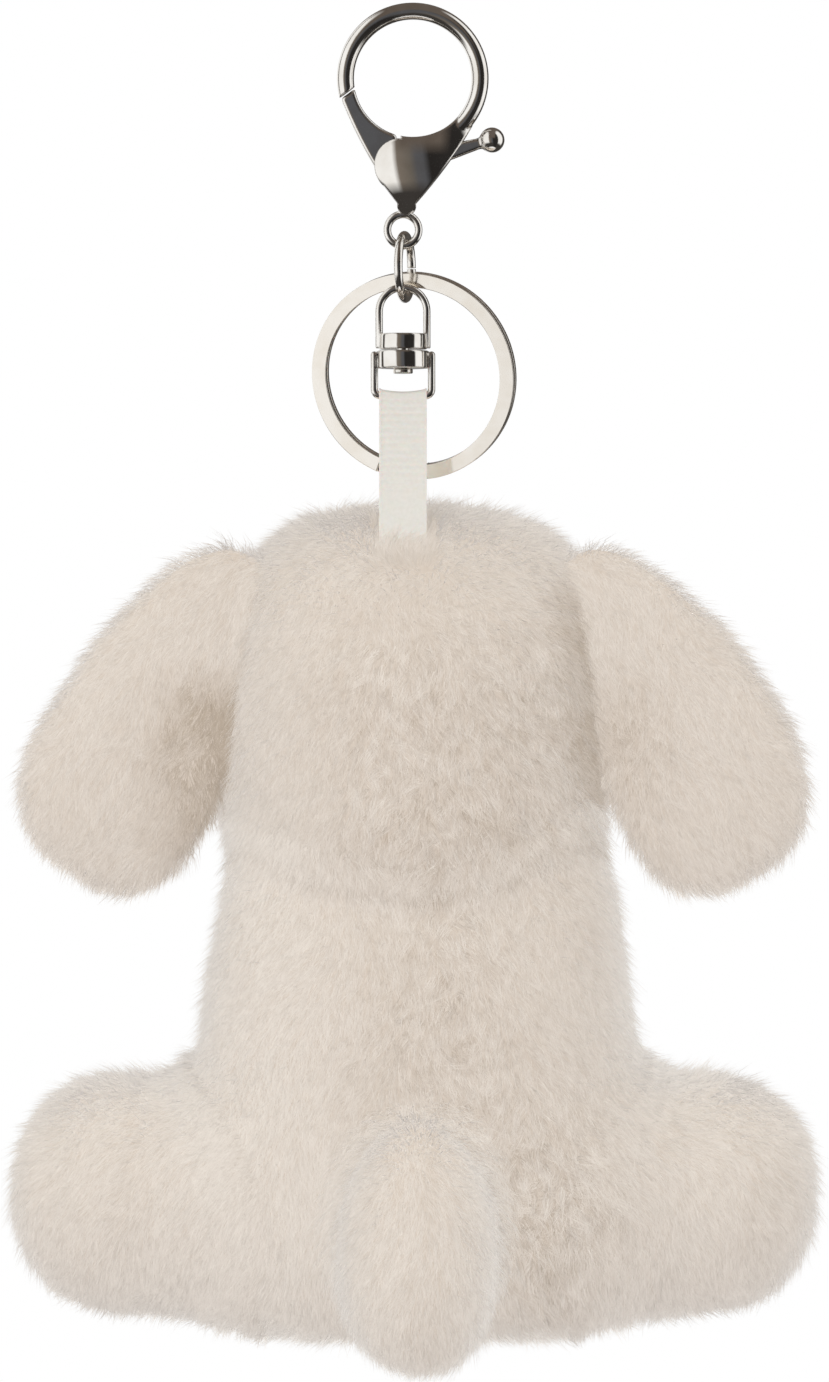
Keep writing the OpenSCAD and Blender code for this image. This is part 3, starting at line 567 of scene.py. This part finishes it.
def brushHead(points):
    fromCrown = points - np.array(headBrush["crown"])
    fromNose = points - np.array(headBrush["nose"])
    face = np.clip((points[:, 1:2] - headBrush["faceFrom"]) / headBrush["faceOver"], 0, 1)
    flow = (1 - face) * fromCrown / headBrush["crownScale"] + face * fromNose / headBrush["noseScale"]
    flow += np.stack([headBrush["waverX"] * softNoise(points, headBrush["waver"], 21), 0 * points[:, 0],
                      headBrush["waverZ"] * softNoise(points, headBrush["waver"], 22)], 1)
    over = np.clip(ribbonEnd["half"] - np.abs(points[:, 0] - strapSet["x"]), 0, 1)
    over = over * np.clip((points[:, 2] - ribbonEnd["above"]) / ribbonEnd["over"], 0, 1)
    over = over * (points[:, 1] < ribbonEnd["behind"])
    return flow + over[:, None] * np.array(ribbonEnd["lift"])


def brushDown(points):
    down, waver, waverSize, spread, middle = (0.0, -0.15, -1.0), 0.4, 18, 0.012, 1.4
    flow = np.tile(np.array(down), (len(points), 1))
    flow[:, 0] = waver * softNoise(points, waverSize, 31) + spread * (points[:, 0] - middle)
    return flow


def brushAlong(direction):
    waver, waverSize = 0.3, 15

    def brush(points):
        wavers = np.stack([softNoise(points, waverSize, seed) for seed in (41, 42, 43)], 1)
        return np.array(direction, float) + waver * wavers
    return brush


# the pile is most ruffled down the middle of the back, beside the tail, and on the ears beside the head, and its tones
# are darker there as painted shade between tufts:
# middle, half size and sharpness of each zone along x and along z (mm)
ruffleZones = {"head": ((7, 19, 4), (-100, 22, 4)), "back": ((5, 11, 2), (-132, 24, 4)),
               "besideTail": ((19, 11, 2), (-165, 15, 2)), "ears": ((32, 6, 2), (-98, 10, 2))}
ruffleSet = {"besideTail": 1.6, "front": 0.3, "frontFrom": 7, "least": 0.1}


def zoneAt(name, x, z):
    (middleAcross, halfAcross, sharpAcross), (middleUp, halfUp, sharpUp) = ruffleZones[name]
    return np.exp(-((x - middleAcross) / halfAcross) ** sharpAcross - ((z - middleUp) / halfUp) ** sharpUp)


def ruffled(points):
    x, y, z = points.T
    back = zoneAt("back", x, z) + ruffleSet["besideTail"] * zoneAt("besideTail", x, z)
    behind = np.maximum(np.maximum(zoneAt("head", x, z), back), zoneAt("ears", np.abs(x), z))
    return np.where(y < ruffleSet["frontFrom"], behind, ruffleSet["front"])


# pile: how a fibre leans from root to tip, and how fibres draw together in clumps (mm, degrees)
pileShape = {"lean": (48, 76), "leanLimits": (5, 86), "clumpLean": 5.0, "fibreLean": 7.0,
             "width": 0.085,  # real fibres are about 0.02 mm: drawn wider, so that fewer cover the cloth
             "narrowing": (1.0, 0.8), "widths": (0.8, 1.2), "twist": 1.1, "sunk": 0.25,
             "lengths": (0.75, 1.12), "clumpLengths": 0.08, "clumpTurn": 0.3, "fibreTurn": 0.25,
             "clump": 1.0, "stray": 0.45, "pull": 0.35, "pulls": (0.4, 1.0), "level": 0.7, "mostPull": 1.0,
             "calm": 0.5,  # share of a clump's turn and pull where the pile is not ruffled
             "wisps": 0.2, "wispLength": 1.15, "wispLift": 20.0,  # stray long fibres that stand up
             "pressed": 1.2, "pressedWithin": 0.6,  # short where another piece lies on it
             "overlap": 2.5, "gap": 0.3, "liningGap": 0.4, "liningInset": 0.2, "liningLength": 1.3,
             "liningRuffle": 0.2, "quickShare": 0.15, "rings": 110, "sides": 150, "pole": 0.004}
# which of the nine tones a fibre takes: a middle tone, what shifts it, and the difference from root to tip, where the
# darker root is painted shade down in the pile
toneSet = {"middle": 5.6, "drift": 0.2, "driftSize": 24, "ruffle": 0.5, "fibres": 0.25, "clumps": 0.6, "ruffled": 1.0,
           "parting": 1.6, "partings": 0.2, "wisp": 0.8, "rag": 1.5, "ragSize": 7, "clumpRag": 1.0,
           "darkOver": 8, "frontFrom": 8, "frontOver": 8, "half": 0.5, "rootRuffle": 0.8, "tipRuffle": 0.2}
normalTurn = {"face": 0.08, "clumps": 0.07, "least": 0.4}  # how unevenly the fibres catch the light
maxStrands = 60000  # keeps a piece under 200,000 triangles


def spreadRoots(form, density, rng):
    # roots spread evenly over a form, each with the way that the cloth faces there
    rings, sides, pole = pileShape["rings"], pileShape["sides"], pileShape["pole"]
    theta, around = np.linspace(0, math.pi, rings + 1), np.linspace(0, 2 * math.pi, sides + 1)
    gridT, gridA = np.meshgrid(theta, around, indexing="ij")
    grid = formPoint(form, -np.cos(gridT), gridA)
    diagonals = np.cross(grid[1:, 1:] - grid[:-1, :-1], grid[1:, :-1] - grid[:-1, 1:])
    cell = 0.5 * np.linalg.norm(diagonals, axis=-1)
    count = int(cell.sum() * density)
    pick = rng.choice(cell.size, count, p=cell.ravel() / cell.sum())
    t = np.clip(theta[pick // sides] + rng.random(count) * math.pi / rings, pole, math.pi - pole)
    a = around[pick % sides] + rng.random(count) * 2 * math.pi / sides
    normals = formNormal(form, t, a)
    return lumpy(formPoint(form, -np.cos(t), a), normals), normals


def rootPile(name, piece, blockers, density, rng):
    # the roots that show: none inside another piece, or under a bead or the ribbon
    lines = piece.get("lines")  # a lining grows on the face that another piece cuts
    roots, normals = spreadRoots(forms[lines or name], density, rng)
    keep = np.ones(len(roots), bool)
    if lines:
        roots, normals = roots + pileShape["liningGap"] * normals, -normals
        keep = insideForm(forms[name], roots, -pileShape["liningInset"])
    for other in blockers:
        overlap = piece.get("overlap", pileShape["overlap"])
        keep &= ~insideForm(forms[other], roots, -overlap if other in piece["fill"] else pileShape["gap"])
    if name == "head":
        x, y, z = roots.T
        for beadX, beadZ, radius in beadSpots:
            keep &= ~((np.hypot(x - beadX, z - beadZ) < radius) & (y > beadsFrom))
        keep &= ~((np.abs(x - strapSet["x"]) < ribbonSpot["half"]) & (z > ribbonSpot["above"])
                  & (y < ribbonEnd["behind"]))
    roots, normals = roots[keep], normals[keep]
    for other, reach in piece["fill"].items():
        fillCrease(roots, normals, forms[other], reach)
    return roots, normals


def gatherClumps(roots, density, rng):
    # each fibre joins the nearest of some fibres picked as the middles of clumps, and a few stray to the next
    count = len(roots)
    clumps = max(1, int(count / (density * pileShape["clump"] ** 2)))
    centres = rng.choice(count, clumps, replace=False)
    nearest = kdtree.KDTree(clumps)
    for number, index in enumerate(centres):
        nearest.insert(roots[index], number)
    nearest.balance()
    clump = np.array([nearest.find(p)[1] for p in roots + pileShape["stray"] * rng.normal(size=roots.shape)])
    return clumps, centres, clump


def combFibres(roots, normals, piece, density, rng):
    # three points along each fibre from root to tip, and the clump that it is in
    count = len(roots)
    flow = piece["brush"](roots)
    flow -= normals * np.sum(flow * normals, 1)[:, None]
    flow /= np.maximum(np.linalg.norm(flow, axis=1)[:, None], 1e-6)
    sideways = np.cross(normals, flow)
    clumps, centres, clump = gatherClumps(roots, density, rng)
    ruffle = ruffled(roots) * piece["ruffle"] + ruffleSet["least"]
    turn = rng.normal(0, pileShape["clumpTurn"], clumps)[clump] * (pileShape["calm"] + ruffle)
    turn = turn + rng.normal(0, pileShape["fibreTurn"], count)
    size = piece["length"] * rng.normal(1.0, pileShape["clumpLengths"], clumps)[clump]
    size = size * rng.uniform(*pileShape["lengths"], count)
    wisp = rng.random(count) < pileShape["wisps"]
    size = np.where(wisp, pileShape["wispLength"] * size, size)
    for other in piece["under"]:
        size = np.where(insideForm(forms[other], roots, pileShape["pressedWithin"]), pileShape["pressed"], size)
    comb = flow * np.cos(turn)[:, None] + sideways * np.sin(turn)[:, None]
    tilt = rng.normal(0, pileShape["clumpLean"], clumps)[clump] + rng.normal(0, pileShape["fibreLean"], count)
    tilt = tilt - np.where(wisp, pileShape["wispLift"], 0.0)
    spots = [roots - pileShape["sunk"] * normals]
    for lean in pileShape["lean"]:
        angle = np.radians(np.clip(lean + tilt, *pileShape["leanLimits"]))[:, None]
        spots.append(spots[-1] + (normals * np.cos(angle) + comb * np.sin(angle)) * (size / 2)[:, None])
    for step, pull in enumerate(pileShape["pulls"], 1):  # the fibres of a clump draw together at their tips
        shift = spots[step][centres[clump]] - spots[step]
        shift = shift * (pileShape["pull"] * pull * (pileShape["calm"] + ruffle))[:, None]
        shift -= normals * np.sum(shift * normals, 1)[:, None] * pileShape["level"]
        spots[step] = spots[step] + np.clip(shift, -pileShape["mostPull"], pileShape["mostPull"])
    return spots, {"clumps": clumps, "clump": clump, "ruffle": ruffle, "wisp": wisp}


def shapeBlades(spots, normals, tufts, rng):
    # a fibre is a narrow blade of four corners with a pointed tip, lit as the cloth below it is
    count = len(normals)
    twist = rng.uniform(-pileShape["twist"], pileShape["twist"], count)[:, None]
    corners, shade = np.empty((count, 5, 3)), np.empty((count, 5, 3))
    uneven = normalTurn["clumps"] * rng.normal(size=(tufts["clumps"], 3))[tufts["clump"]]
    uneven = uneven * (normalTurn["least"] + tufts["ruffle"])[:, None]
    for step, narrow in enumerate(pileShape["narrowing"]):
        direction = spots[step + 1] - spots[step]
        direction /= np.maximum(np.linalg.norm(direction, axis=1)[:, None], 1e-9)
        wide = np.cross(direction, normals)
        wide /= np.maximum(np.linalg.norm(wide, axis=1)[:, None], 1e-9)
        face = np.cross(wide, direction)
        wide = wide * np.cos(twist) + face * np.sin(twist)
        half = pileShape["width"] / 2 * narrow * rng.uniform(*pileShape["widths"], count)[:, None]
        corners[:, 2 * step] = spots[step] - wide * half
        corners[:, 2 * step + 1] = spots[step] + wide * half
        shade[:, 2 * step] = shade[:, 2 * step + 1] = normals + normalTurn["face"] * face + uneven
    corners[:, 4] = spots[2]
    shade[:, 4] = shade[:, 3]
    return corners, shade / np.linalg.norm(shade, axis=2)[..., None]


def pickTones(roots, piece, tufts, rng):
    # the number of the tone of each fibre's blade and tip
    count, clump, clumps, ruffle = len(roots), tufts["clump"], tufts["clumps"], tufts["ruffle"]
    base = toneSet["middle"] + piece["tone"] + toneSet["drift"] * softNoise(roots, toneSet["driftSize"], 51)
    # painted shade: ruffled zones are darker, as shade falls between their tufts
    base = base - toneSet["ruffle"] * ruffle
    fibreSpread, clumpSpread = rng.normal(0, toneSet["fibres"], count), rng.normal(0, toneSet["clumps"], clumps)
    base += fibreSpread + (clumpSpread[clump] + rng.normal(0, toneSet["ruffled"], count)) * ruffle
    # painted shade: some clumps are darker, standing for shade in the partings between ruffled clumps
    base -= toneSet["parting"] * (rng.random(clumps) < toneSet["partings"])[clump] * ruffle  # between ruffled clumps
    # painted light: stray standing fibres are a little paler, as they catch more light at the outline
    base += np.where(tufts["wisp"], toneSet["wisp"], 0.0)
    # painted light: one side of a piece is paler, as if lit more from that side
    for word, sign in (("paintedLightLeft", -1), ("paintedLightRight", 1)):  # paler towards one side, from start mm over width mm
        amount, start, width = piece.get(word, (0, 0, 1))
        base += amount * np.clip((sign * roots[:, 0] - start) / width, 0, 1)
    ragged = toneSet["rag"] * softNoise(roots, toneSet["ragSize"], 61)
    ragged = ragged + rng.normal(0, toneSet["clumpRag"], clumps)[clump]
    lowDown = np.clip((piece.get("darkBelow", 0) - roots[:, 2]) / toneSet["darkOver"], 0, 1)
    inFront = np.clip((roots[:, 1] - toneSet["frontFrom"]) / toneSet["frontOver"], 0, 1)
    for kind, where in (("dark", lowDown), ("darkInFront", inFront)):  # creases stay in shade
        for other, (reach, depth) in piece.get(kind, {}).items():
            base -= depth * where * shadeBeside(roots, forms[other], reach, ragged)
    # painted shade down in the pile: the blade near the root is darker than the tip, more so where the pile is ruffled
    bladeTone = base - toneSet["half"] - toneSet["rootRuffle"] * ruffle
    tipTone = base + toneSet["half"] + toneSet["tipRuffle"] * ruffle
    return np.clip(np.round(np.stack([bladeTone, tipTone], 1)), 0, len(pileTones) - 1).astype(np.int32)


def makePile(label, roots, corners, shade, slots):
    # as many meshes as maxStrands asks for, from the lowest fibres up
    pieces = []
    order = np.argsort(roots[:, 2], kind="stable")
    for part, chosen in enumerate(np.array_split(order, max(1, math.ceil(len(roots) / maxStrands)))):
        n = len(chosen)
        mesh = bpy.data.meshes.new("%sPile%d" % (label, part + 1))
        mesh.vertices.add(5 * n)
        mesh.vertices.foreach_set("co", (corners[chosen] * mm).astype(np.float32).ravel())
        mesh.loops.add(7 * n)  # four for the blade and three for the tip
        loopCorners = (np.arange(n)[:, None] * 5 + [0, 1, 3, 2, 2, 3, 4]).astype(np.int32)
        loopStarts = (np.arange(n)[:, None] * 7 + [0, 4]).astype(np.int32)
        mesh.loops.foreach_set("vertex_index", loopCorners.ravel())
        mesh.polygons.add(2 * n)
        mesh.polygons.foreach_set("loop_start", loopStarts.ravel())
        mesh.polygons.foreach_set("material_index", slots[chosen].ravel())
        mesh.update(calc_edges=True)
        mesh.shade_smooth()
        for pileTone in pileTones:
            mesh.materials.append(pileTone)
        mesh.normals_split_custom_set_from_vertices(shade[chosen].reshape(-1, 3))
        obj = addObject("%sPile%d" % (label, part + 1), mesh)
        obj.visible_shadow = False  # light goes through fine fibres
        obj.visible_diffuse = False
        pieces.append(obj)
    return pieces


def growPile(name, label, piece, blockers, rng):
    density = piece["density"] * 1.0
    roots, normals = rootPile(name, piece, blockers, density, rng)
    spots, tufts = combFibres(roots, normals, piece, density, rng)
    corners, shade = shapeBlades(spots, normals, tufts, rng)
    slots = pickTones(roots, piece, tufts, rng)
    return makePile(label, roots, corners, shade, slots), len(roots)


# each soft piece: the body it rides, what cuts it, the solids it stands for, and its pile. density is in fibres
# to the square mm. fill gives how many mm of pile join it to another piece, dark how far a crease is in painted
# shade and by how many tones, and paintedLightLeft and paintedLightRight how much paler one side is, as painted light
softPieces = {
    "head": {"rides": "plush", "cutBy": [], "stands": ["head_cover", "head_stuffing"], "brush": brushHead,
             "density": 17, "length": 3.9, "tone": 0.0, "ruffle": 1.0, "under": ["earLeft", "earRight"],
             "shades": False, "fill": {"body": 5}, "darkBelow": -70,
             "dark": {"earLeft": (4, 2.2), "earRight": (13, 5.0)},
             "darkInFront": {"body": (7, 3.0), "armLeft": (5, 1.5), "armRight": (5, 1.5)}},
    "body": {"rides": "plush", "cutBy": ["head"], "stands": ["body_cover", "body_stuffing"], "brush": brushDown,
             "density": 17, "length": 3.9, "tone": 0.2, "ruffle": 1.0, "under": [],
             "shades": False, "fill": {"head": 5, "tail": 3, "legLeft": 9, "legRight": 9},
             "paintedLightLeft": (1.1, 5, 14), "paintedLightRight": (0.7, 24, 6), "dark": {"tail": (4, 0.7)},
             "darkInFront": {"head": (9, 4.0), "armLeft": (6, 3.0), "armRight": (6, 3.0),
                             "legLeft": (6, 2.0), "legRight": (6, 2.0)}},
    "tail": {"rides": "plush", "cutBy": ["body"], "stands": ["tail_cover", "tail_stuffing"], "brush": brushDown,
             "density": 18, "length": 3.6, "tone": 0.8, "ruffle": 0.2, "under": [],
             "shades": False, "fill": {"body": 3}, "paintedLightRight": (1.0, 3, 5)}}
for side, word, end in ((-1, "Left", "l"), (1, "Right", "r")):
    low = word.lower()
    softPieces["leg" + word] = {
        "rides": "plush", "cutBy": ["body"], "stands": ["leg_%s_cover" % low, "leg_%s_stuffing" % low],
        "brush": brushAlong((side * 0.3, 0.1, -0.9)), "density": 17, "length": 3.9, "tone": 0.8,
        "ruffle": 0.1 if side < 0 else 0.8, "under": [],
        "shades": False, "fill": {"body": 9}, "darkInFront": {"body": (7, 2.5)}}
    softPieces["arm" + word] = {
        "rides": "plush", "cutBy": ["body", "head"], "stands": ["arm_%s_cover" % low, "arm_%s_stuffing" % low],
        "brush": brushAlong((0, 0.8, -0.6)), "density": 15, "length": 3.4, "tone": 0.2, "ruffle": 0.3, "under": [],
        "shades": True, "fill": {"body": 4}, "dark": {"body": (4, 1.3), "head": (4, 1.3)}}
    softPieces["ear" + word] = {
        "rides": "ear_" + end, "cutBy": ["head"], "stands": ["ear_" + low],
        "brush": brushAlong((side * 0.45, 0, -0.9)), "density": 18, "length": 3.7, "tone": 0.3, "ruffle": 1.0,
        "under": ["head"], "shades": False, "fill": {"head": 3}, "overlap": 0.0, "darkBelow": -84,
        "dark": {"head": (15, 7.0 if side < 0 else 1.5)}}
sewn = ["head", "body", "legLeft", "legRight", "tail", "armLeft", "armRight"]
total = 0
for number, (name, piece) in enumerate(softPieces.items()):
    skin = makeSkin(name + "Skin", forms[name], piece["cutBy"])
    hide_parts(*piece["stands"])
    skin.visible_shadow = skin.visible_diffuse = piece["shades"]  # brushed pile lets light through
    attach(skin, piece["rides"])
    isEar = name.startswith("ear")
    blockers = ["head"] if isEar else [other for other in sewn if other != name]
    pieces, count = growPile(name, name, piece, blockers, np.random.default_rng(100 + number))
    if isEar:  # short pile on the side that lies against the head, seen when the ear is lifted
        lining = dict(piece, lines="head", length=pileShape["liningLength"], fill={}, dark={},
                      ruffle=pileShape["liningRuffle"])
        linings, more = growPile(name, name + "Lining", lining, [], np.random.default_rng(200 + number))
        pieces, count = pieces + linings, count + more
    for pile in pieces:
        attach(pile, piece["rides"])
    total += count
    print(name, count, "fibres in", len(pieces), "pieces")
print("pile:", total, "fibres")
